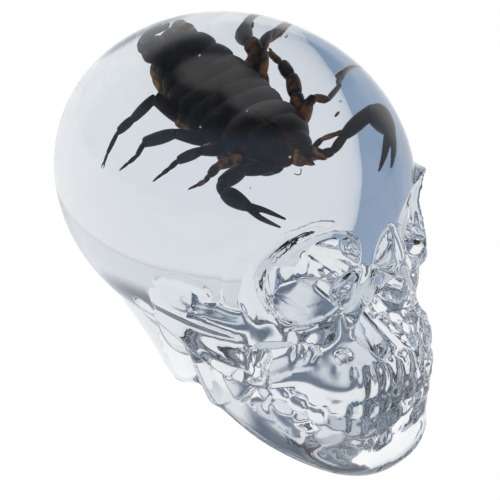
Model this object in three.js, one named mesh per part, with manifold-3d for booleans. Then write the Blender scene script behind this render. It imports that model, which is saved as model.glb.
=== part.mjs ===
// A solid casting of clear resin in the shape of a human skull, lower jaw
// and all, poured in one piece and standing on the flat ground under the jaw.
// Millimetres, +Z up. The face looks along -Y and the skull's left is +X.
// Points are written as [left, forward, up] from the middle of the skull.
import * as THREE from 'three';
import { mergeVertices } from 'three/addons/utils/BufferGeometryUtils.js';
import Module from 'manifold-3d';

const wasm = await Module();
wasm.setup();

// ---- driving dimensions -------------------------------------------------
const CRANIUM_LENGTH = 82.8;
const CRANIUM_WIDTH = 64.8;
const CRANIUM_HEIGHT = 68.8;
const CRANIUM_TILT = 8.4; // degrees, forehead end up
const CRANIUM_CENTRE = [0, -4.8, 55];
const SOCKET_CENTRE = [16, 34, 52.6]; // left eye socket, at its rim
const SOCKET_WIDTH = 21.4;
const SOCKET_HEIGHT = 17;
const SOCKET_DEPTH = 14;
const CHEEK_HEIGHT = 38.6; // of the bar from the cheekbone to the ear
const GUM_FRONT = 37.2; // middle line of the gums, at the front teeth
const GUM_RADIUS = 4.2;
const UPPER_GUM_HEIGHT = 24.4;
const LOWER_GUM_HEIGHT = 12;
const TOOTH_ROW_CENTRE = 17; // forward of the middle of the skull
const TOOTH_ROW_LENGTH = 25.2; // from there to the face of the front teeth
const TOOTH_ROW_HALF_WIDTH = 19.9;
const TOOTH_ROW_CLIMB = 15; // degrees, back teeth up
const BITE_HEIGHT = 17.9; // where the two rows of teeth meet, at the front
const OVERBITE = 0.5;
const CROWN_HEIGHT = 3.8;
const TEETH_PER_ROW = 14;
const TOOTH_BULGE = 0.5; // how far a crown's face stands out between its neighbours
const BAR_SIDES = 9;
const BAR_STEPS_PER_POINT = 1.6;
const BALL_RINGS = 7;
const BROAD_BALL_RINGS = 10; // of the broad lumps of the base and the jaw
const CRANIUM_RINGS = 19;
const GROUND_SIZE = 200;

// ---- places ---------------------------------------------------------------
const UNTURNED = [0, 0, 0];
const place = ([left, forward, up]) => new THREE.Vector3(left, -forward, up);
const mirrored = ([left, forward, up]) => [-left, forward, up];

// An ellipsoid: its centre, its half sizes [left, forward, up] and its turns
// in degrees about the left, forward and up axes.
function lump(centre, half, turns = UNTURNED, rings = BALL_RINGS) {
  const [nod, roll, yaw] = turns.map(THREE.MathUtils.degToRad);
  const ball = new THREE.SphereGeometry(1, rings * 2, rings).rotateX(Math.PI / 2);
  return ball.applyMatrix4(new THREE.Matrix4().compose(
    place(centre),
    new THREE.Quaternion().setFromEuler(new THREE.Euler(-nod, -roll, yaw)),
    new THREE.Vector3(...half),
  ));
}

const pair = (centre, half, [nod, roll, yaw] = UNTURNED) => [
  lump(centre, half, [nod, roll, yaw]),
  lump(mirrored(centre), half, [nod, -roll, -yaw]),
];

// A round bar along a smooth curve.
function bar(points, radius) {
  const section = new THREE.Shape(new THREE.EllipseCurve(0, 0, radius, radius).getPoints(BAR_SIDES).slice(1));
  const extrudePath = new THREE.CatmullRomCurve3(points.map(place));
  const steps = Math.round(points.length * BAR_STEPS_PER_POINT);
  return new THREE.ExtrudeGeometry(section, { extrudePath, steps });
}

// The same half curve on both sides, joined in one bar at the middle.
const arch = (half, radius) => bar([...half.slice(1).map(mirrored).reverse(), ...half], radius);
const barPair = (points, radius) => [bar(points, radius), bar(points.map(mirrored), radius)];

// ---- joining and cutting ----------------------------------------------------
function solid(geometry) {
  const bare = geometry.clone();
  bare.deleteAttribute('normal');
  bare.deleteAttribute('uv');
  const merged = mergeVertices(bare);
  return new wasm.Manifold(new wasm.Mesh({
    numProp: 3,
    vertProperties: new Float32Array(merged.attributes.position.array),
    triVerts: new Uint32Array(merged.index.array),
  }));
}

function geometryOf(manifold) {
  const { vertProperties, triVerts } = manifold.getMesh();
  const geometry = new THREE.BufferGeometry();
  geometry.setAttribute('position', new THREE.BufferAttribute(vertProperties, 3));
  geometry.setIndex(new THREE.BufferAttribute(triVerts, 1));
  return geometry;
}

const join = (body, geometries) => geometries.reduce((whole, each) => whole.add(solid(each)), body);
const cut = (body, geometries) => geometries.reduce((rest, each) => rest.subtract(solid(each)), body);

// ---- braincase ----------------------------------------------------------------
const cranium = lump(
  CRANIUM_CENTRE,
  [CRANIUM_WIDTH / 2, CRANIUM_LENGTH / 2, CRANIUM_HEIGHT / 2],
  [CRANIUM_TILT, 0, 0],
  CRANIUM_RINGS,
);
const backAndBase = [
  lump([0, -25, 41], [18, 19, 19], UNTURNED, BROAD_BALL_RINGS),
  lump([0, -9, 36], [22, 20, 21], UNTURNED, BROAD_BALL_RINGS),
  lump([0, -20, 23], [14, 11, 17], [10, 0, 0]),
  lump([0, -17.5, 10], [9, 7.5, 13], [8, 0, 0]),
  lump([0, 2, 24], [13, 13, 16]),
  ...pair([19, -1, 31], [6, 7, 9], [8, 0, 0]), // behind the ears
];

// ---- brow, cheekbones, nose and upper jaw -----------------------------------------
const browAndCheeks = [
  ...pair([13, 28.2, 61], [11.5, 4.6, 4], [0, 0, 22]),
  lump([0, 31.4, 60.5], [7, 4.6, 5.5]),
  ...pair([23.4, 19, 51.5], [4.4, 8, 11.5]), // outer edge of the sockets
  ...pair([19.5, 26, CHEEK_HEIGHT], [7, 5, 5]),
  ...barPair([[21, 25, CHEEK_HEIGHT], [26.6, 17, 38.8], [28, 8, 39], [27.2, -1, 40]], 3),
  ...barPair([[15.5, 28.5, 31.5], [21, 24.4, 31], [24.4, 17, 31.6], [25.6, 8, 34.4], [26, 0, 37.4]], 5),
];
const noseAndUpperJaw = [
  lump([0, 33.5, 53], [4.2, 5.8, 9.5], [-16, 0, 0]),
  lump([0, 24, 31], [17.5, 12, 17]),
  ...pair([10.5, 29.5, 39], [7, 5, 9.5], [0, -18, 0]),
  arch([[0, 35.8, 29], [7, 35.2, 29], [12.4, 32.4, 30.2], [15.8, 24, 32.2]], 4.6),
  arch([[0, GUM_FRONT, UPPER_GUM_HEIGHT], [6.5, 37, UPPER_GUM_HEIGHT], [12.4, 35, 25.2],
    [15.7, 29.5, 27], [16.9, 20, 29.2]], GUM_RADIUS),
];

// ---- lower jaw and the foot under it ------------------------------------------------
const lowerJaw = [
  ...barPair([[21.4, 5, 38], [21.8, 7, 28], [20.8, 13, 19.4], [19.2, 21, 14.8]], 4.8),
  arch([[0, 37.4, 5.8], [6, 37, 5.8], [12, 33.8, 7.4], [17, 27.2, 10.8], [20, 18, 15.6]], 4.6),
  arch([[0, GUM_FRONT, LOWER_GUM_HEIGHT], [6.5, 37, LOWER_GUM_HEIGHT], [12.4, 35, 13.4],
    [15.9, 29, 15.6], [17, 19.5, 18.2]], GUM_RADIUS),
  ...pair([8.8, 36.6, 7.2], [4.2, 3.8, 4.4], [0, 0, 18]), // corners of the chin
  lump([0, 15, 20], [16, 20, 19], UNTURNED, BROAD_BALL_RINGS),
  lump([0, 20, 18], [17, 18.5, 13]),
  lump([0, 8, 6], [9, 26, 10], UNTURNED, BROAD_BALL_RINGS),
];

// ---- the teeth ------------------------------------------------------------------
// Each row is a plate shaped as half of a broad oval, whose edge swells out
// once for every tooth.
function toothRow(bottom, setBack) {
  const halfWidth = TOOTH_ROW_HALF_WIDTH - setBack;
  const length = TOOTH_ROW_LENGTH - setBack;
  const oval = new THREE.EllipseCurve(0, 0, halfWidth, length, 0, Math.PI);
  const stepsPerTooth = 4;
  const edge = oval.getSpacedPoints(TEETH_PER_ROW * stepsPerTooth).map((point, i) => {
    const swell = Math.abs(Math.sin((Math.PI * i) / stepsPerTooth)) - 1;
    return point.multiplyScalar(1 + (TOOTH_BULGE * swell) / point.length());
  });
  const plate = new THREE.ExtrudeGeometry(new THREE.Shape(edge), {
    depth: CROWN_HEIGHT,
    steps: 1,
    bevelEnabled: false,
  });
  const climb = THREE.MathUtils.degToRad(TOOTH_ROW_CLIMB);
  return plate.rotateZ(Math.PI).rotateX(climb)
    .translate(0, -TOOTH_ROW_CENTRE, bottom + length * Math.sin(climb));
}
const teeth = [
  toothRow(BITE_HEIGHT, 0),
  toothRow(BITE_HEIGHT - CROWN_HEIGHT, OVERBITE),
];

// ---- the hollows --------------------------------------------------------------------
const [socketLeft, socketForward, socketUp] = SOCKET_CENTRE;
const eyeSockets = [
  ...pair(SOCKET_CENTRE, [SOCKET_WIDTH / 2, SOCKET_DEPTH, SOCKET_HEIGHT / 2]),
  ...pair([socketLeft + 2.6, socketForward, socketUp - 4.6], [7.6, SOCKET_DEPTH - 2, 6.6]),
  ...pair([socketLeft - 5.4, socketForward, socketUp + 1.2], [5.4, SOCKET_DEPTH - 2, 7]),
];
const noseHollow = [
  ...pair([4, 39, 36], [5.2, 10, 9.5], [0, 8, 0]),
  lump([0, 40, 44.5], [4.2, 8, 6]),
];
const inTheCheeks = pair([24, 30.6, 32.2], [7.4, 5, 4], [0, 0, 48]);
const besideTheTeeth = pair([22.8, 28, 20.2], [4.6, 8.2, 4.6], [0, 0, 8]);

// ---- the casting ----------------------------------------------------------------------
const bone = join(solid(cranium), [...backAndBase, ...browAndCheeks, ...noseAndUpperJaw, ...lowerJaw]);
const hollowed = cut(bone, [...eyeSockets, ...noseHollow, ...inTheCheeks, ...besideTheTeeth]);
const ground = new THREE.BoxGeometry(GROUND_SIZE, GROUND_SIZE, GROUND_SIZE);
ground.translate(0, 0, -GROUND_SIZE / 2);
const skullGeometry = geometryOf(cut(join(hollowed, teeth), [ground]));

// The origin is on the ground, under the middle of the whole casting.
skullGeometry.computeBoundingBox();
const middle = skullGeometry.boundingBox.getCenter(new THREE.Vector3());
skullGeometry.translate(-middle.x, -middle.y, 0);

const clearResin = new THREE.MeshStandardMaterial({
  color: 0xdfe6ec,
  roughness: 0.03,
  metalness: 0,
  transparent: true,
  opacity: 0.35,
});

const skull = new THREE.Mesh(skullGeometry, clearResin);
skull.name = 'resin_skull';

const object = new THREE.Group();
object.add(skull);

export default object;
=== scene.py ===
import math

import bpy
from mathutils import Matrix, Vector


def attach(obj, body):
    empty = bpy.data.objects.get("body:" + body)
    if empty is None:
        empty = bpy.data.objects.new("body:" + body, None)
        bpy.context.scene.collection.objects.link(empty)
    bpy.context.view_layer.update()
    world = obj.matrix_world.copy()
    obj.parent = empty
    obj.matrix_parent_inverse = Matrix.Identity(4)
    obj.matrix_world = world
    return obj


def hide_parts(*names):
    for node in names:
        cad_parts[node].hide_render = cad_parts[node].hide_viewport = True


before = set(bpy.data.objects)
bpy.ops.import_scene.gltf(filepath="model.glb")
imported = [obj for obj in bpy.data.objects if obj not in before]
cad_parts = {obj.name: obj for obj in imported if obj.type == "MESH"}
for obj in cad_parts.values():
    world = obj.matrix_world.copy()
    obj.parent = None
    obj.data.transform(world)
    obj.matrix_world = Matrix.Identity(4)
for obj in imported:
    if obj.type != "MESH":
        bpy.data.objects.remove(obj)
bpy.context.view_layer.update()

# ---------------------------------------------------------------------------
# The casting. One solid pour of water-clear resin in the shape of a human
# skull with its lower jaw, cast in a flexible mould, sanded flat underneath
# and polished. It is swelled up from round lumps and bars, then hollowed.
# ---------------------------------------------------------------------------
MM = 0.001
MIDDLE_SETBACK = 2.05  # the casting's middle lies this far behind the skull's own
CRANIUM_CENTRE = (0, -4.8, 55)
CRANIUM_HALF = (32.4, 41.4, 34.4)
CRANIUM_TILT = 8.4  # degrees, forehead end up
DOME_BLEND = 0.008  # a surface this near to the ellipsoid, as a share of it, is moved onto it
ROUGH_VOXEL = 0.8
HOLLOW_VOXEL = 0.6
FINE_VOXEL = 0.62
GROUND_BLOCK = 200


def place(point):
    """[left, forward, up] in millimetres to the frame's metres."""
    left, forward, up = point
    return Vector((left, -forward - MIDDLE_SETBACK, up)) * MM


def mirrored(point):
    return (-point[0],) + tuple(point[1:])


def only(*pieces):
    bpy.ops.object.select_all(action="DESELECT")
    for piece in pieces:
        piece.select_set(True)
    bpy.context.view_layer.objects.active = pieces[0]


def lump(centre, half, turns=(0, 0, 0), segments=32):
    """An ellipsoid, turned in degrees about the left, forward and up axes."""
    nod, roll, yaw = (math.radians(angle) for angle in turns)
    bpy.ops.object.select_all(action="DESELECT")
    bpy.ops.mesh.primitive_uv_sphere_add(
        segments=segments,
        ring_count=segments * 5 // 8,
        radius=MM,
        location=place(centre),
        rotation=(-nod, -roll, yaw),
        scale=half,
    )
    bpy.ops.object.transform_apply(location=True, rotation=True, scale=True)
    return bpy.context.object


def lump_pair(centre, half, turns=(0, 0, 0)):
    nod, roll, yaw = turns
    return [lump(centre, half, turns), lump(mirrored(centre), half, (nod, -roll, -yaw))]


def bar(points, radii):
    """A round bar of changing thickness along a smooth curve."""
    curve = bpy.data.curves.new("bar", "CURVE")
    curve.dimensions = "3D"
    spline = curve.splines.new("NURBS")
    spline.points.add(len(points) - 1)
    for knot, point, radius in zip(spline.points, points, radii):
        knot.co = (*place(point), 1)
        knot.radius = radius
    spline.use_endpoint_u = True
    spline.order_u = 3
    curve.resolution_u = 8
    curve.bevel_depth = MM
    curve.bevel_resolution = 4
    curve.use_fill_caps = True
    piece = bpy.data.objects.new("bar", curve)
    bpy.context.scene.collection.objects.link(piece)
    only(piece)
    bpy.ops.object.convert(target="MESH")
    return bpy.context.object


def bar_pair(points, radii):
    return [bar(points, radii), bar([mirrored(point) for point in points], radii)]


def arch(half, radii):
    """The same half curve on both sides, as one bar across the middle."""
    return [bar([mirrored(point) for point in reversed(half[1:])] + half, radii[:0:-1] + radii)]


def lofted(loops):
    """A closed skin through loops of points, each loop with as many points."""
    count = len(loops[0])
    points = [place(point) for loop in loops for point in loop]
    faces = [tuple(reversed(range(count)))]
    for level in range(len(loops) - 1):
        for step in range(count):
            after = (step + 1) % count
            low, high = level * count, (level + 1) * count
            faces.append((low + step, low + after, high + after, high + step))
    faces.append(tuple(range(len(points) - count, len(points))))
    mesh = bpy.data.meshes.new("loft")
    mesh.from_pydata(points, [], faces)
    piece = bpy.data.objects.new("loft", mesh)
    bpy.context.scene.collection.objects.link(piece)
    modified(piece, "SUBSURF", levels=2)
    only(piece)
    bpy.ops.object.mode_set(mode="EDIT")
    bpy.ops.mesh.select_all(action="SELECT")
    bpy.ops.mesh.normals_make_consistent(inside=False)
    bpy.ops.object.mode_set(mode="OBJECT")
    return piece


def hollow_from(rim, middle, steps):
    """A pit under a rim. Each step shifts the rim and says how wide it is there."""
    middle = Vector(middle)
    return lofted([
        [Vector(point).lerp(middle, 1 - width) + Vector(shift) for point in rim]
        for shift, width in steps
    ])


def joined(pieces, name):
    only(*pieces)
    bpy.ops.object.join()
    piece = bpy.context.object
    piece.name = name
    return piece


def modified(piece, kind, **settings):
    only(piece)
    modifier = piece.modifiers.new(kind, kind)
    for setting, value in settings.items():
        setattr(modifier, setting, value)
    bpy.ops.object.modifier_apply(modifier=modifier.name)


def remeshed(piece, size):
    modified(piece, "REMESH", mode="VOXEL", voxel_size=size * MM)


def smoothed(piece, passes):
    modified(piece, "SMOOTH", factor=0.5, iterations=passes)


def cut(piece, cutter):
    modified(piece, "BOOLEAN", operation="DIFFERENCE", solver="MANIFOLD", object=cutter)
    bpy.data.objects.remove(cutter)


# The rims of the hollows, on the left side of the face. A recess also has a middle
# and the direction that it opens in.
ORBIT_RIM = [
    (25.6, 24.6, 48.4), (25.2, 25.6, 54.0), (22.6, 28.2, 58.6), (18.3, 31.2, 61.2), (12.8, 32.9, 61.0),
    (9.0, 33.7, 60.0), (7.6, 34.2, 57.4), (6.9, 35.0, 54.0), (7.2, 35.6, 49.4), (9.6, 34.2, 44.6),
    (12.9, 33.3, 42.6), (16.5, 31.8, 41.6), (21.0, 30.6, 41.4), (24.6, 27.5, 43.0),
]
NOSE_RIM = [
    (0, 40, 49), (3.0, 38.6, 46.5), (6.0, 36.6, 42.6), (7.8, 35.2, 38), (8.0, 34.8, 33.6),
    (6.0, 35.6, 29.6), (2.6, 36.6, 27.8), (0, 37.2, 28.2),
]
NOSE_RIM += [mirrored(point) for point in reversed(NOSE_RIM[1:-1])]
OUTER_ORBIT_RIM = ORBIT_RIM[10:] + ORBIT_RIM[:6]  # all but the side by the nose
CHEEK_RIM = [
    (26.1, 21.9, 36.1), (24.0, 24.2, 36.6), (21.1, 27.4, 36.5), (18.6, 30.1, 36.1), (16.9, 32.0, 35.2),
    (16.1, 32.9, 33.2), (16.9, 32.1, 31.0), (18.6, 30.1, 30.3), (20.4, 28.2, 29.9), (22.7, 25.7, 28.7),
    (24.7, 23.4, 27.8), (26.0, 22.0, 27.6), (26.4, 21.5, 31.6),
]
CHEEK_MIDDLE, CHEEK_OUTWARD = (20.4, 28, 32.2), (0.74, 0.67, 0)
MOLAR_RIM = [
    (20.3, 22.4, 24.2), (19.9, 25.5, 25.8), (19.6, 27.7, 25.0), (19.2, 31.0, 23.2), (18.6, 33.8, 21.4),
    (17.5, 35.9, 18.9), (17.9, 34.2, 16.7), (18.6, 31.1, 15.5), (19.5, 27.1, 15.3), (20.2, 24.0, 16.3),
    (20.7, 21.7, 18.8), (20.8, 21.0, 21.7),
]
MOLAR_MIDDLE, MOLAR_OUTWARD = (19.6, 27, 20.4), (0.95, 0.3, 0)

braincase = [
    lump(CRANIUM_CENTRE, CRANIUM_HALF, (CRANIUM_TILT, 0, 0), segments=96),
    bar([(0, -30.4, 41.1), (0, -25.4, 25.5), (0, -20.9, 12.8), (0, -18.4, 2)], [16, 11, 7, 3.8]),
    *bar_pair([(8, -20.9, 38.6), (8, -18.1, 31.0), (6, -15.0, 17.6), (2.6, -14.5, 4.0)], [13, 11, 7, 4.2]),
    lump((0, -8, 36), (22, 19, 20)),
    lump((0, 2, 24), (13, 13, 16)),
    *lump_pair((19, -1, 31), (6.0, 7, 9), (8, 0, 0)),
]
brow_and_cheeks = [
    *bar_pair(
        [(3, 32.4, 58.4), (8, 31.4, 59.2), (12.8, 30.2, 59.8), (17.8, 28.0, 59.4), (21.8, 25.0, 56.8),
         (23.6, 22.6, 52.4), (24.0, 21.8, 47), (23.4, 22.8, 42)],
        [3.0, 2.4, 2.3, 2.3, 2.5, 2.8, 3.0, 3.2],
    ),
    *bar_pair(OUTER_ORBIT_RIM, [0.9] * len(OUTER_ORBIT_RIM)),
    lump((0, 30.6, 61.0), (7, 5.0, 6)),
    *lump_pair((21.5, 14, 52), (6.5, 10, 14)),
    *lump_pair((21.4, 24.0, 37.5), (5.8, 5.6, 6)),
    *bar_pair(
        [(11, 30.6, 41), (15.5, 29.0, 39.4), (20.5, 26.4, 39.0), (24.5, 21.5, 41)],
        [2.8, 2.8, 2.8, 3.0],
    ),
    *bar_pair(
        [(18, 27, 37.5), (24, 23.5, 38.6), (27.4, 16, 39.2), (28.6, 7, 39.4), (28, -1, 40.4)],
        [3.0, 2.6, 2.3, 2.2, 2.8],
    ),
    *bar_pair(
        [(13, 31.5, 28.5), (18, 28.5, 27.6), (23, 23.6, 26.6), (26.2, 16, 28.4), (27.6, 7, 32.6),
         (27.2, -1, 36.6)],
        [2.4, 2.2, 2.2, 2.2, 2.0, 2.8],
    ),
    *bar_pair(
        [(16, 28, 33.5), (20.5, 24.5, 33), (24.2, 18, 33), (25.4, 10, 34.4), (26.2, 2, 36.6)],
        [4.6, 4.8, 4.6, 3.8, 3.6],
    ),
]
nose_and_upper_jaw = [
    bar([(0, 30, 62), (0, 33.2, 56), (0, 36.6, 51.5), (0, 38.2, 49)], [4.6, 4.0, 3.4, 2.6]),
    *bar_pair(
        [(0.5, 38.6, 48.8), (4.4, 36.4, 45), (8.2, 33.6, 40), (9.6, 32.5, 35.5), (9, 33, 31),
         (6, 34.6, 27.6)],
        [1.8, 1.8, 2.0, 2.4, 2.6, 2.8],
    ),
    *bar_pair([(3, 32, 60), (5.0, 33, 54), (6.6, 33.5, 48), (9.5, 32, 42)], [2.6, 2.2, 2.4, 3.4]),
    lump((0, 22, 36), (17.5, 12, 20)),
    *lump_pair((12.5, 28.5, 37), (6.5, 5, 8.5), (0, -12, 0)),
    lump((0, 20, 24), (16, 17, 13)),
    *arch([(0, 36.2, 29.2), (6.5, 35.6, 29.2), (12.4, 32.6, 30.4), (15.8, 24, 32.4)], [4.0] * 4),
    *arch(
        [(0, 37.4, 25), (6.5, 37.2, 25), (12.4, 35.4, 25.8), (15.6, 30, 27.4), (16.8, 21, 29.8)],
        [3.8] * 5,
    ),
    *arch(
        [(0, 37.8, 22), (6.5, 37.6, 22), (12.6, 35.6, 22.8), (15.8, 30, 24.4), (17.0, 21, 26.6)],
        [3.3] * 5,
    ),
]
lower_jaw = [
    *bar_pair([(22, 4, 38), (22, 5.5, 30), (21.8, 8.5, 23), (21.4, 12.5, 18.4)], [3.6, 3.6, 4.0, 4.6]),
    *bar_pair([(20.5, 12, 33), (20.5, 13, 26), (20, 16, 20)], [4.0, 4.0, 4.4]),
    *arch(
        [(0, 38.2, 6.1), (6.4, 37.6, 6.1), (12.6, 34.0, 7.6), (17.6, 26.6, 10.8), (20.4, 18.6, 14.6),
         (21.0, 11, 19.6)],
        [4.6, 4.4, 4.0, 3.6, 3.6, 4.0],
    ),
    *lump_pair((8.8, 36.8, 7.4), (4.2, 3.7, 4.2), (0, 0, 18)),
    lump((0, 38.0, 7.6), (5, 3.6, 4.8)),
    *arch(
        [(0, 37.4, 12.8), (6.5, 37.2, 12.8), (12.4, 35.4, 14.2), (15.8, 29.4, 16.2), (17.2, 20, 18.6)],
        [3.6] * 5,
    ),
    *arch([(0, 37.2, 10), (6.5, 37.0, 10.2), (12.4, 35.0, 12.0), (16.2, 28.8, 14.2)], [3.8] * 4),
    lump((0, 15, 20), (16, 20, 19)),
    lump((0, 9, 6), (8.5, 24, 9)),
]
TEETH = [  # left, forward, width and turn; the same for both jaws
    (2.05, 41.6, 4.1, 3),
    (6.0, 41.4, 3.8, 6),
    (9.8, 40.7, 3.8, 16),
    (13.1, 38.8, 3.7, 36),
    (15.6, 35.9, 3.7, 54),
    (17.4, 32.0, 4.4, 68),
    (18.5, 27.5, 4.4, 79),
    (18.9, 23.1, 4.0, 87),
]
CROWNS = [(20.4, 1.95, 1.7), (16.1, 1.9, 2.1)]  # height, half height, how far set back
ROOTS = [(25.6, 4.2, 1.7), (11.0, 3.4, 2.3)]
CROWN_SHARE, CROWN_HALF_DEPTH = 0.45, 2.0  # half width as a share of the tooth's width
ROOT_SHARE, ROOT_HALF_DEPTH = 0.34, 1.7
CROWN_ROUNDING = 0.9
ROW_CLIMB = 0.3  # rise for each millimetre back from the front teeth


def crown(centre, half, turn):
    """A rounded block."""
    bpy.ops.object.select_all(action="DESELECT")
    bpy.ops.mesh.primitive_cube_add(
        size=2 * MM, location=place(centre), rotation=(0, 0, math.radians(turn)), scale=half
    )
    bpy.ops.object.transform_apply(location=True, rotation=True, scale=True)
    block = bpy.context.object
    modified(block, "BEVEL", width=CROWN_ROUNDING * MM, segments=3)
    return block


def behind_face(side, spot, height, setback):
    """The middle of a crown or a root, set back square to the face of its tooth."""
    left, forward, _, turn = spot
    out = math.radians(turn)
    climb = ROW_CLIMB * (TEETH[0][1] - forward)
    return (
        side * (left - setback * math.sin(out)),
        forward - setback * math.cos(out),
        height + climb,
    )


teeth = []
for side in (1, -1):
    for spot in TEETH:
        width, turn = spot[2], side * spot[3]
        for height, half_height, setback in CROWNS:
            half = (width * CROWN_SHARE, CROWN_HALF_DEPTH, half_height)
            teeth.append(crown(behind_face(side, spot, height, setback), half, turn))
        for height, half_height, setback in ROOTS:
            half = (width * ROOT_SHARE, ROOT_HALF_DEPTH, half_height)
            teeth.append(lump(behind_face(side, spot, height, setback), half, (0, 0, turn), segments=20))

casting = joined(braincase + brow_and_cheeks + nose_and_upper_jaw + lower_jaw, "clear_skull")
remeshed(casting, ROUGH_VOXEL)
smoothed(casting, passes=9)


def orbit(side):
    """An eye socket, its floor drawn in toward the nose."""
    rim = [(side * left, forward, up) for left, forward, up in ORBIT_RIM]
    return hollow_from(
        rim,
        (side * 16, 32, 52),
        [
            ((side * 5, 10, 2), 1.04),
            ((side * 0.5, 1, 0), 1.0),
            ((side * -0.8, -3.4, -0.8), 0.92),
            ((side * -2.4, -8, -2.4), 0.68),
            ((side * -4, -12, -3.4), 0.34),
        ],
    )


def recess(side, rim, middle, outward):
    """A shallow flat-floored hollow in one side of the face."""
    away = Vector(outward)
    away.x *= side
    return hollow_from(
        [(side * left, forward, up) for left, forward, up in rim],
        (side * middle[0], *middle[1:]),
        [(away * 6, 1.1), (away * 1.5, 1.02), (away * -1.0, 0.98), (away * -3.6, 0.92), (away * -4.2, 0.6)],
    )


hollows = [
    orbit(1),
    orbit(-1),
    hollow_from(
        NOSE_RIM,
        (0, 36, 37),
        [((0, 8, -1), 1.1), ((0, 0.6, 0), 1.0), ((0, -5, 1), 0.85), ((0, -11, 2), 0.5)],
    ),
    *lump_pair((30.5, 9, 44.5), (4.0, 9, 4.2)),
    *(recess(side, CHEEK_RIM, CHEEK_MIDDLE, CHEEK_OUTWARD) for side in (1, -1)),
    *(recess(side, MOLAR_RIM, MOLAR_MIDDLE, MOLAR_OUTWARD) for side in (1, -1)),
    *lump_pair((12.8, 35.6, 32.3), (2.3, 2.4, 1.4)),
    *lump_pair((27, -7, 33.5), (3.4, 3.0, 3.4)),
]
hollow = joined(hollows, "hollow")
remeshed(hollow, HOLLOW_VOXEL)
smoothed(hollow, passes=4)
cut(casting, hollow)
bpy.ops.object.select_all(action="DESELECT")
casting = joined([casting, *teeth], "clear_skull")
remeshed(casting, FINE_VOXEL)
smoothed(casting, passes=2)
bpy.ops.mesh.primitive_cube_add(size=GROUND_BLOCK * MM, location=(0, 0, -GROUND_BLOCK / 2 * MM))
cut(casting, bpy.context.object)

# The polished dome is true to the ellipsoid, so the voxel steps are taken out of it.
tilt = Matrix.Rotation(math.radians(-CRANIUM_TILT), 3, "X")
middle = place(CRANIUM_CENTRE)
for vertex in casting.data.vertices:
    spoke = tilt.inverted() @ (vertex.co - middle) / MM
    reach = Vector([spoke[axis] / CRANIUM_HALF[axis] for axis in range(3)]).length
    snap = max(0, min(1, 2 - abs(reach - 1) / DOME_BLEND))
    vertex.co = middle + (vertex.co - middle) * (1 + snap * (1 / reach - 1))
only(casting)
bpy.ops.object.shade_smooth()

# Water-clear casting resin, faintly grey in depth. The polish is even but for a
# slow ripple left by the mould, and a little haze where it was polished less.
clear_resin = bpy.data.materials.new("clear_resin")
clear_resin.use_nodes = True
nodes, links = clear_resin.node_tree.nodes, clear_resin.node_tree.links
shader = nodes["Principled BSDF"]
shader.inputs["Base Color"].default_value = (1, 1, 1, 1)
shader.inputs["IOR"].default_value = 1.5
shader.inputs["Transmission Weight"].default_value = 1.0
coordinates = nodes.new("ShaderNodeTexCoord")
flow = nodes.new("ShaderNodeTexNoise")
flow.inputs["Scale"].default_value = 120
flow.inputs["Detail"].default_value = 2
polish = nodes.new("ShaderNodeMapRange")
polish.inputs["From Min"].default_value = 0.5
polish.inputs["To Max"].default_value = 0.02
ripple = nodes.new("ShaderNodeBump")
ripple.inputs["Strength"].default_value = 0.4
ripple.inputs["Distance"].default_value = 0.05 * MM
links.new(coordinates.outputs["Object"], flow.inputs["Vector"])
links.new(flow.outputs["Fac"], polish.inputs["Value"])
links.new(flow.outputs["Fac"], ripple.inputs["Height"])
links.new(polish.outputs["Result"], shader.inputs["Roughness"])
links.new(ripple.outputs["Normal"], shader.inputs["Normal"])
absorb = nodes.new("ShaderNodeVolumeAbsorption")
absorb.inputs["Color"].default_value = (0.72, 0.76, 0.80, 1)
absorb.inputs["Density"].default_value = 20.0
links.new(absorb.outputs["Volume"], nodes["Material Output"].inputs["Volume"])
casting.data.materials.clear()
casting.data.materials.append(clear_resin)
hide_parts("resin_skull")
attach(casting, "root")

# ---------------------------------------------------------------------------
# The scorpion. A small dried black scorpion, its limbs spread by hand before
# the pour. Its hard plates are thick black chitin, gone brown and clear where
# they are thin. Every limb is a row of swollen links, pinched at the joints.
# ---------------------------------------------------------------------------
BODY_HEIGHT = 61.5
BACK_PLATES = [  # left, forward, half width, half length, turn
    (9.6, -20.6, 3.6, 3.0, -19),
    (9.1, -18.2, 4.6, 3.1, -18),
    (8.3, -15.6, 5.5, 3.2, -17),
    (7.2, -13.0, 6.3, 3.3, -16),
    (6.2, -10.3, 6.9, 3.4, -14),
    (5.3, -7.6, 7.1, 3.4, -12),
    (4.6, -5.0, 7.1, 3.3, -11),
]


def tapered(start, end, thick, first=0.68, last=0.74):
    """One link of a limb: thin at both joints and swollen between them."""
    start, end = Vector(start), Vector(end)
    knots = [start.lerp(end, step) for step in (0, 0.15, 0.45, 0.8, 1)]
    return bar(knots, [thick * first, thick * 0.88, thick, thick * 0.9, thick * last])


def jointed(joints, thicknesses, name, voxel=0.13):
    links = [
        tapered(start, end, thick)
        for start, end, thick in zip(joints, joints[1:], thicknesses)
    ]
    limb = joined(links, name)
    remeshed(limb, voxel)
    smoothed(limb, passes=1)
    return limb


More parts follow.
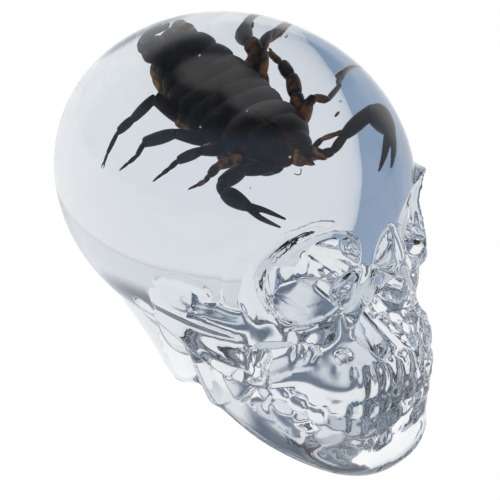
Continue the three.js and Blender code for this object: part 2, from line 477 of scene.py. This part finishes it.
def chitin(name, dark, pale, roughness):
    """Hard skin: clouded from a dark to a paler colour, finely grained."""
    material = bpy.data.materials.new(name)
    material.use_nodes = True
    nodes, links = material.node_tree.nodes, material.node_tree.links
    shader = nodes["Principled BSDF"]
    coordinates = nodes.new("ShaderNodeTexCoord")
    clouds = nodes.new("ShaderNodeTexNoise")
    clouds.inputs["Scale"].default_value = 420
    clouds.inputs["Detail"].default_value = 6
    tint = nodes.new("ShaderNodeValToRGB")
    tint.color_ramp.elements[0].position = 0.46
    tint.color_ramp.elements[0].color = (*dark, 1)
    tint.color_ramp.elements[1].position = 0.70
    tint.color_ramp.elements[1].color = (*pale, 1)
    gloss = nodes.new("ShaderNodeMapRange")
    gloss.inputs["To Min"].default_value = roughness
    gloss.inputs["To Max"].default_value = roughness + 0.25
    grain = nodes.new("ShaderNodeTexVoronoi")
    grain.inputs["Scale"].default_value = 5200
    bump = nodes.new("ShaderNodeBump")
    bump.inputs["Strength"].default_value = 0.01
    bump.inputs["Distance"].default_value = 0.05 * MM
    links.new(coordinates.outputs["Object"], clouds.inputs["Vector"])
    links.new(coordinates.outputs["Object"], grain.inputs["Vector"])
    links.new(clouds.outputs["Fac"], tint.inputs["Fac"])
    links.new(clouds.outputs["Fac"], gloss.inputs["Value"])
    links.new(grain.outputs["Distance"], bump.inputs["Height"])
    links.new(tint.outputs["Color"], shader.inputs["Base Color"])
    links.new(gloss.outputs["Result"], shader.inputs["Roughness"])
    links.new(bump.outputs["Normal"], shader.inputs["Normal"])
    shader.inputs["Specular IOR Level"].default_value = 0.22
    return material


black_chitin = chitin("black_chitin", (0.0032, 0.003, 0.0034), (0.040, 0.015, 0.008), 0.35)
brown_chitin = chitin("brown_chitin", (0.022, 0.010, 0.006), (0.52, 0.22, 0.08), 0.3)
thin_skin = chitin("thin_skin", (0.16, 0.07, 0.03), (0.85, 0.5, 0.2), 0.4)


def sealed(piece, material):
    """A finished piece of the scorpion: smooth, skinned and held by the resin."""
    only(piece)
    bpy.ops.object.shade_smooth()
    piece.data.materials.clear()
    piece.data.materials.append(material)
    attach(piece, "root")


# The trunk. Seven back plates overlap like tiles above a browner belly, and the
# pale skin that joins the two shows along the sides.
for number, (left, forward, half_width, half_length, turn) in enumerate(BACK_PLATES, 1):
    half = (half_width, half_length * 1.5, 2.3)
    plate = lump((left, forward, BODY_HEIGHT + 0.5), half, (-3, 0, turn), segments=64)
    plate.name = f"back_plate_{number}"
    sealed(plate, black_chitin)

belly = joined(
    [
        lump(
            (left, forward, BODY_HEIGHT - 1.3),
            (half_width * 0.9, half_length * 1.1, 2.5),
            (0, 0, turn),
            segments=48,
        )
        for left, forward, half_width, half_length, turn in BACK_PLATES
    ],
    "belly_plates",
)
sealed(belly, brown_chitin)

side_skin = joined(
    [
        lump(
            (left, forward, BODY_HEIGHT - 0.5),
            (half_width * 1.09, half_length * 1.1, 1.2),
            (0, 0, turn),
            segments=48,
        )
        for left, forward, half_width, half_length, turn in BACK_PLATES
    ],
    "side_skin",
)
sealed(side_skin, thin_skin)

# The head shield. One stiff plate, notched in front and grooved along its middle,
# with two eyes on its hump and three at each front corner.
shield = joined(
    [
        lump((3.9, -0.6, BODY_HEIGHT + 0.3), (6.7, 4.4, 3.0), (0, 0, -9), segments=64),
        lump((3.5, 2.8, BODY_HEIGHT + 0.2), (5.7, 5.0, 2.7), (-3, 0, -8), segments=64),
        lump((1.6, 5.6, BODY_HEIGHT), (2.7, 3.5, 2.0), (-5, 0, -8), segments=48),
        lump((4.6, 5.9, BODY_HEIGHT), (2.6, 3.4, 2.0), (-5, 0, -8), segments=48),
    ],
    "head_shield",
)
remeshed(shield, size=0.16)
smoothed(shield, passes=3)
groove = lump((3.2, 3.6, BODY_HEIGHT + 3.25), (0.45, 6.5, 0.75), (-6, 0, -8), segments=32)
cut(shield, groove)
sealed(shield, black_chitin)

eyes = joined(
    [
        lump((2.6, 2.6, BODY_HEIGHT + 2.65), (0.42, 0.5, 0.42), segments=24),
        lump((3.6, 2.75, BODY_HEIGHT + 2.65), (0.42, 0.5, 0.42), segments=24),
        *(
            lump((3.1 + side * offset, 8.0 - drop, BODY_HEIGHT + 0.75), (0.22, 0.22, 0.22), segments=16)
            for side in (-1, 1)
            for offset, drop in ((2.5, 0), (2.9, 0.5), (3.2, 1.0))
        ),
    ],
    "eyes",
)
sealed(eyes, black_chitin)

# The hip plates, four to a side under the trunk, and the breast plate between them.
hip_plates = joined(
    [
        lump((left, forward, BODY_HEIGHT - 2.2), (2.5, 1.3, 1.5), (0, 0, turn), segments=32)
        for left, forward, turn in (
            (0.2, -3.4, 25), (0.0, -0.6, 10), (0.2, 2.2, -5), (0.9, 4.9, -25),
            (7.6, -4.4, -45), (7.2, -1.6, -30), (6.8, 1.2, -15), (6.2, 4.0, 5),
        )
    ]
    + [lump((3.8, 0, BODY_HEIGHT - 2.2), (3.6, 6, 1.8), (0, 0, -9), segments=32)],
    "hip_plates",
)
sealed(hip_plates, brown_chitin)

# The tail. Five links that curl up over the end of the trunk, then the browner sting.
tail = jointed(
    [
        (9.9, -21.2, 61.6), (8.9, -23.4, 62.0), (7.2, -25.0, 63.8), (5.4, -25.6, 66.8),
        (4.9, -24.9, 69.8), (5.7, -22.6, 71.6),
    ],
    [1.9, 1.7, 1.5, 1.3, 1.15],
    "tail",
    voxel=0.15,
)
sealed(tail, black_chitin)
sting = joined(
    [
        lump((6.4, -20.7, 71.6), (1.15, 1.7, 1.15), (-10, 0, -25), segments=32),
        bar(
            [(6.7, -19.8, 71.7), (7.1, -18.6, 71.5), (7.4, -17.9, 70.5), (7.4, -17.8, 69.6)],
            [0.7, 0.5, 0.3, 0.1],
        ),
    ],
    "sting",
)
remeshed(sting, size=0.1)
smoothed(sting, passes=2)
sealed(sting, brown_chitin)

# The jaws. Two short stout ones in front of the shield, each with its own small pincer.
jaws = joined(
    [
        lump((2.5, 8.6, 61.2), (1.15, 2.2, 1.1), (-8, 0, -12), segments=32),
        lump((4.7, 8.9, 61.2), (1.15, 2.2, 1.1), (-8, 0, -6), segments=32),
        bar([(2.1, 10.0, 61.3), (2.0, 11.2, 61.2), (2.6, 12.0, 60.9)], [0.45, 0.35, 0.12]),
        bar([(2.9, 10.0, 61.0), (3.3, 11.2, 60.9), (2.9, 12.0, 60.8)], [0.45, 0.35, 0.12]),
        bar([(4.3, 10.3, 61.3), (4.3, 11.5, 61.2), (4.8, 12.3, 60.9)], [0.45, 0.35, 0.12]),
        bar([(5.1, 10.3, 61.0), (5.5, 11.5, 60.9), (5.1, 12.3, 60.8)], [0.45, 0.35, 0.12]),
    ],
    "jaws",
)
remeshed(jaws, size=0.11)
sealed(jaws, brown_chitin)


def arm(joints, thicknesses, palm_end, upper_finger, lower_finger, name):
    """A pincer arm: links, then a fat palm with two curved fingers."""
    limb = jointed(joints, thicknesses, name, voxel=0.14)
    sealed(limb, black_chitin)
    wrist, knuckle = Vector(joints[-1]), Vector(palm_end)
    palm = bar(
        [wrist.lerp(knuckle, step) for step in (0, 0.2, 0.5, 0.8, 1.05)],
        [1.1, 1.6, 1.55, 1.25, 0.8],
    )
    fingers = [
        bar([knuckle, *middle, tip], [0.8, 0.55, 0.45, 0.2])
        for *middle, tip in (upper_finger, lower_finger)
    ]
    hand = joined([palm, *fingers], name + "_hand")
    remeshed(hand, size=0.12)
    smoothed(hand, passes=2)
    sealed(hand, black_chitin)


arm(
    [(1.0, 6.9, 60.2), (-0.9, 6.6, 60.4), (-5.4, 4.3, 61.0), (-10.2, 3.6, 60.5), (-11.9, 5.4, 60.0)],
    [1.3, 1.15, 1.45, 1.2],
    (-12.5, 11.2, 59.3),
    [(-12.1, 13.0, 59.5), (-11.7, 15.6, 59.2), (-11.0, 18.3, 58.5)],
    [(-12.9, 13.2, 58.4), (-12.6, 15.6, 57.8), (-12.0, 18.0, 57.2)],
    "near_arm",
)
arm(
    [(5.2, 8.0, 60.6), (5.7, 10.7, 60.8), (7.3, 11.4, 60.8), (10.3, 10.6, 61.7), (15.9, 9.2, 62.0)],
    [1.0, 0.8, 0.75, 1.15],
    (15.0, 14.0, 61.0),
    [(14.3, 16.0, 60.8), (12.6, 18.6, 60.5), (10.4, 21.0, 60.2)],
    [(13.3, 15.4, 60.3), (11.4, 17.4, 59.8), (9.0, 19.4, 59.6)],
    "far_arm",
)
# A small brown spur lies along the far arm.
spur = jointed(
    [(5.9, 9.0, 61.4), (7.4, 9.0, 61.9), (9.2, 10.0, 62.2), (10.6, 10.2, 61.8)],
    [0.5, 0.45, 0.45],
    "far_arm_spur",
    voxel=0.1,
)
sealed(spur, brown_chitin)

# The legs. Four to a side, of five or six links and two small claws. The far ones and
# the foremost near one are thin enough to show brown.
LEGS = {  # the joints, then how thick each link is
    "near_leg_4": (
        [(3.6, -9.6, 60), (1.6, -11.4, 60.3), (0.2, -17.9, 63.1), (-1.9, -20.2, 60), (-3.3, -22.1, 58),
         (-6.4, -22.2, 56.0), (-7.8, -22.1, 55)],
        [1.15, 1.25, 0.95, 0.8, 0.45, 0.3],
    ),
    "near_leg_3": (
        [(0.9, -3.2, 60), (-1.0, -4.6, 60.8), (-5.1, -9.9, 62.6), (-5.3, -15.7, 59.3), (-7.6, -15.7, 58),
         (-8.2, -16.9, 56.8), (-8.6, -17.7, 56)],
        [1.0, 1.05, 1.1, 0.5, 0.4, 0.28],
    ),
    "near_leg_2": (
        [(0.8, -0.8, 60), (-1.2, -1.9, 60.6), (-6.0, -3.9, 62.0), (-6.4, -7.9, 59.3), (-7.1, -9.2, 57.8),
         (-7.6, -10.2, 56.8), (-8.0, -11.0, 56)],
        [0.95, 0.95, 0.95, 0.5, 0.4, 0.28],
    ),
    "near_leg_1": (
        [(0.9, 2.2, 60), (-1.6, 1.2, 60.5), (-6.9, 0.4, 61.2), (-7.3, -0.9, 59.4), (-7.6, -1.6, 58.2),
         (-8.0, -2.7, 57.4), (-8.3, -3.5, 56.9)],
        [0.9, 0.95, 0.85, 0.5, 0.45, 0.28],
    ),
    "far_leg_4": (
        [(11.2, -9.6, 60.6), (13.9, -11.2, 61.8), (14.5, -10.4, 62.9), (15.2, -13.2, 62.7),
         (17.4, -17.0, 60), (18.6, -18.0, 58), (19.6, -18.0, 56.8)],
        [1.2, 1.0, 0.85, 0.7, 0.45, 0.3],
    ),
    "far_leg_3": (
        [(11.6, -6.6, 60.6), (13.4, -8.3, 61.4), (14.8, -10.3, 62.8), (16.9, -12.3, 62),
         (19.4, -13.3, 58.6), (20.4, -13.6, 57.2)],
        [1.1, 0.95, 0.75, 0.5, 0.3],
    ),
    "far_leg_2": (
        [(9.6, -2.6, 60.4), (10.9, 1.1, 60.9), (12.6, -1.2, 61.8), (14.4, -4.2, 62.1), (15.6, -7.4, 61.8),
         (16.6, -10.6, 61)],
        [1.1, 1.1, 0.95, 0.7, 0.35],
    ),
    "far_leg_1": (
        [(8.2, 4.0, 60.6), (9.6, 3.0, 61), (12.1, 1.4, 61.8), (13.3, 1.1, 62.1), (14.7, 2.1, 61),
         (17.5, 0.2, 60), (20.2, -3.9, 57)],
        [1.1, 1.0, 0.75, 0.55, 0.42, 0.25],
    ),
}
for name, (joints, thicknesses) in LEGS.items():
    leg = jointed(joints, thicknesses, name)
    sealed(leg, brown_chitin if name.startswith("far") or name.endswith("_1") else black_chitin)
    ankle, foot = Vector(joints[-2]), Vector(joints[-1])
    stride = (foot - ankle).normalized()
    spread = stride.cross(Vector((0, 0, 1))).normalized()
    claws = joined(
        [
            bar(
                [
                    foot - stride * 0.2,
                    foot + stride * 0.4 + spread * side,
                    foot + stride * 0.9 + spread * side * 0.7,
                ],
                [0.2, 0.13, 0.04],
            )
            for side in (-0.3, 0.3)
        ],
        name + "_claws",
    )
    sealed(claws, brown_chitin)

# ---------------------------------------------------------------------------
# What else the pour caught: a flake of dried skin, a curled hair, and a few
# beads of air that clung to the limbs. Seen from outside, air in resin shines.
# ---------------------------------------------------------------------------
flake = lump((9.0, 10.6, 66.0), (0.55, 0.4, 0.12), (20, 30, 0), segments=16)
flake.name = "flake"
sealed(flake, thin_skin)
hair = bar([(-1.2, 13.0, 62.3), (-1.7, 13.6, 61.9), (-2.3, 13.3, 61.7), (-2.4, 12.7, 61.9)], [0.08] * 4)
hair.name = "hair"
sealed(hair, black_chitin)

trapped_air = bpy.data.materials.new("trapped_air")
trapped_air.use_nodes = True
nodes, links = trapped_air.node_tree.nodes, trapped_air.node_tree.links
shader = nodes["Principled BSDF"]
shader.inputs["Metallic"].default_value = 1.0
shader.inputs["Roughness"].default_value = 0.06
coordinates = nodes.new("ShaderNodeTexCoord")
dimple = nodes.new("ShaderNodeTexNoise")
dimple.inputs["Scale"].default_value = 1500
tone = nodes.new("ShaderNodeValToRGB")
tone.color_ramp.elements[0].color = (0.60, 0.64, 0.68, 1)
tone.color_ramp.elements[1].color = (0.95, 0.97, 0.99, 1)
links.new(coordinates.outputs["Object"], dimple.inputs["Vector"])
links.new(dimple.outputs["Fac"], tone.inputs["Fac"])
links.new(tone.outputs["Color"], shader.inputs["Base Color"])
BEADS = [  # left, forward, up, radius
    (5.2, -23.6, 72.6, 0.28), (8.4, -16.0, 65.2, 0.2), (0.4, 9.2, 62.4, 0.22), (-3.0, -6.4, 63.8, 0.18),
    (13.0, 6.6, 64.0, 0.2), (-10.0, 9.6, 61.4, 0.16), (3.4, -2.2, 64.6, 0.15), (16.8, -9.0, 63.8, 0.18),
]
beads = joined([lump(bead[:3], bead[3:] * 3, segments=16) for bead in BEADS], "air_beads")
sealed(beads, trapped_air)

# ---------------------------------------------------------------------------
# The studio: a glowing pale sheet to stand on, a soft patched sky and the camera.
# The sheet's slate patches are painted shadow under the skull and chin; they show only
# through the resin, which gives it its contrast. Its glow is a painted pool of light.
# ---------------------------------------------------------------------------
VIEW_AZIMUTH = math.radians(-50)
VIEW_ELEVATION = math.radians(29)
VIEW_DISTANCE = 0.52
VIEW_TARGET = Vector((-1.93, -1.703 - MIDDLE_SETBACK, 40.36)) * MM
FRAME_WIDTH_AT_TARGET = 0.10504
SENSOR_WIDTH = 36
SHEET_SIZE = 2.4
# The slate of the painted shadow on the sheet.
PAINTED_SHADOW_SLATE = (0.15, 0.19, 0.26)
FACTOR, FIRST, SECOND, RESULT = 0, 6, 7, 2  # the sockets of a Mix node set to colours

bpy.ops.mesh.primitive_plane_add(size=SHEET_SIZE, location=(0, 0, 0))
sheet = bpy.context.object
sheet.name = "pale_sheet"
sheet_painted_light_and_shade = bpy.data.materials.new("pale_sheet")
sheet_painted_light_and_shade.use_nodes = True
nodes, links = sheet_painted_light_and_shade.node_tree.nodes, sheet_painted_light_and_shade.node_tree.links
coordinates = nodes.new("ShaderNodeTexCoord")
reach = nodes.new("ShaderNodeVectorMath")
reach.operation = "LENGTH"
# Painted pool of light: the sheet glows brightest in the middle and dimmer further out.
painted_light_pool = nodes.new("ShaderNodeMapRange")
painted_light_pool.interpolation_type = "SMOOTHSTEP"
painted_light_pool.inputs["From Min"].default_value = 0.5
painted_light_pool.inputs["From Max"].default_value = 1.2
painted_light_pool.inputs["To Min"].default_value = 1.0
painted_light_pool.inputs["To Max"].default_value = 0.8


def floor_shade(left, forward, half_axes, turn, stops):
    """The painted shadow tone of the sheet in and round an ellipse, from its middle out."""
    spot = nodes.new("ShaderNodeMapping")
    spot.vector_type = "TEXTURE"
    spot.inputs["Location"].default_value = place((left, forward, 0))
    spot.inputs["Rotation"].default_value = (0, 0, math.radians(turn))
    spot.inputs["Scale"].default_value = (half_axes[0] * MM, half_axes[1] * MM, 1)
    spread = nodes.new("ShaderNodeVectorMath")
    spread.operation = "LENGTH"
    tone = nodes.new("ShaderNodeValToRGB")
    tone.color_ramp.interpolation = "EASE"
    tone.color_ramp.elements[1].color = (1, 1, 1, 1)
    tone.color_ramp.elements[0].color = (*stops[0][1], 1)
    for position, colour in stops[1:]:
        tone.color_ramp.elements.new(position).color = (*colour, 1)
    links.new(coordinates.outputs["Object"], spot.inputs["Vector"])
    links.new(spot.outputs["Vector"], spread.inputs[0])
    links.new(spread.outputs["Value"], tone.inputs["Fac"])
    return tone.outputs["Color"]


# Painted shadow under the skull: a slate ring, lighter in its middle. Then painted shadow in front of the
# chin.
painted_shadow_under_skull = floor_shade(
    left=8,
    forward=1,
    half_axes=(42, 20),
    turn=34,
    stops=[(0, (0.9, 0.92, 0.94)), (0.36, (0.82, 0.85, 0.88)), (0.62, PAINTED_SHADOW_SLATE), (0.76, PAINTED_SHADOW_SLATE)],
)
painted_shadow_under_chin = floor_shade(
    left=10,
    forward=47,
    half_axes=(13, 9),
    turn=0,
    stops=[(0, (0.10, 0.13, 0.19)), (0.5, (0.25, 0.30, 0.38))],
)
shade = nodes.new("ShaderNodeMix")
shade.data_type = "RGBA"
shade.blend_type = "MULTIPLY"
shade.inputs[FACTOR].default_value = 1
links.new(painted_shadow_under_skull, shade.inputs[FIRST])
links.new(painted_shadow_under_chin, shade.inputs[SECOND])
# Camera rays see the sheet plain white; only rays through the resin see the painted shadow.
seen = nodes.new("ShaderNodeLightPath")
shown = nodes.new("ShaderNodeMix")
shown.data_type = "RGBA"
shown.inputs[SECOND].default_value = (1, 1, 1, 1)
glow = nodes.new("ShaderNodeEmission")
links.new(seen.outputs["Is Camera Ray"], shown.inputs[FACTOR])
links.new(shade.outputs[RESULT], shown.inputs[FIRST])
links.new(shown.outputs[RESULT], glow.inputs["Color"])
links.new(coordinates.outputs["Object"], reach.inputs[0])
links.new(reach.outputs["Value"], painted_light_pool.inputs["Value"])
links.new(painted_light_pool.outputs["Result"], glow.inputs["Strength"])
links.new(glow.outputs["Emission"], nodes["Material Output"].inputs["Surface"])
sheet.data.materials.append(sheet_painted_light_and_shade)

world = bpy.data.worlds.new("studio")
bpy.context.scene.world = world
world.use_nodes = True
nodes, links = world.node_tree.nodes, world.node_tree.links
coordinates = nodes.new("ShaderNodeTexCoord")


def sky_patch(below, centre, start, full, colour):
    """A soft patch of another colour on the sky, round a direction."""
    toward = nodes.new("ShaderNodeVectorMath")
    toward.operation = "DOT_PRODUCT"
    toward.inputs[1].default_value = Vector(centre).normalized()
    near = nodes.new("ShaderNodeMapRange")
    near.interpolation_type = "SMOOTHSTEP"
    near.inputs["From Min"].default_value = start
    near.inputs["From Max"].default_value = full
    patch = nodes.new("ShaderNodeMix")
    patch.data_type = "RGBA"
    if isinstance(below, tuple):
        patch.inputs[FIRST].default_value = (*below, 1)
    else:
        links.new(below, patch.inputs[FIRST])
    patch.inputs[SECOND].default_value = (*colour, 1)
    links.new(coordinates.outputs["Generated"], toward.inputs[0])
    links.new(toward.outputs["Value"], near.inputs["Value"])
    links.new(near.outputs["Result"], patch.inputs[FACTOR])
    return patch.outputs[RESULT]


SKY = (0.50, 0.55, 0.62)
SKY_PATCHES = [  # which way, the cosines where it starts and is full, colour
    ((0.72, 0.62, -0.2), 0.45, 0.7, (0.88, 0.90, 0.92)),
    ((0.70, 0.30, 0.55), 0.87, 0.95, (0.10, 0.13, 0.18)),
    ((-1, 0.1, 0.3), 0.45, 0.8, (0.42, 0.54, 0.71)),
    ((0.05, 0.25, 0.95), 0.62, 0.8, (0.08, 0.10, 0.13)),
    ((0.02, 0.44, 0.90), 0.945, 0.985, (0.9, 0.9, 0.92)),
    ((-0.08, 0.0, 1.0), 0.945, 0.985, (0.9, 0.9, 0.92)),
    ((0.5, -0.85, 0.1), 0.93, 0.98, (1.0, 1.0, 1.0)),
]
sky = SKY
for patch in SKY_PATCHES:
    sky = sky_patch(sky, *patch)
links.new(sky, nodes["Background"].inputs["Color"])

camera_data = bpy.data.cameras.new("camera")
camera = bpy.data.objects.new("camera", camera_data)
bpy.context.scene.collection.objects.link(camera)
back = Vector(
    (
        math.sin(VIEW_AZIMUTH) * math.cos(VIEW_ELEVATION),
        -math.cos(VIEW_AZIMUTH) * math.cos(VIEW_ELEVATION),
        math.sin(VIEW_ELEVATION),
    )
)
right = Vector((math.cos(VIEW_AZIMUTH), math.sin(VIEW_AZIMUTH), 0))
facing = Matrix((right, back.cross(right), back)).transposed().to_4x4()
camera.matrix_world = Matrix.Translation(VIEW_TARGET + back * VIEW_DISTANCE) @ facing
camera_data.sensor_width = SENSOR_WIDTH
camera_data.lens = SENSOR_WIDTH * VIEW_DISTANCE / FRAME_WIDTH_AT_TARGET
camera_data.clip_start = 0.01
bpy.context.scene.camera = camera

scene = bpy.context.scene
scene.view_settings.view_transform = "Standard"
scene.cycles.max_bounces = 16
scene.cycles.transmission_bounces = 16
scene.cycles.glossy_bounces = 8
scene.cycles.caustics_refractive = True
scene.cycles.caustics_reflective = False
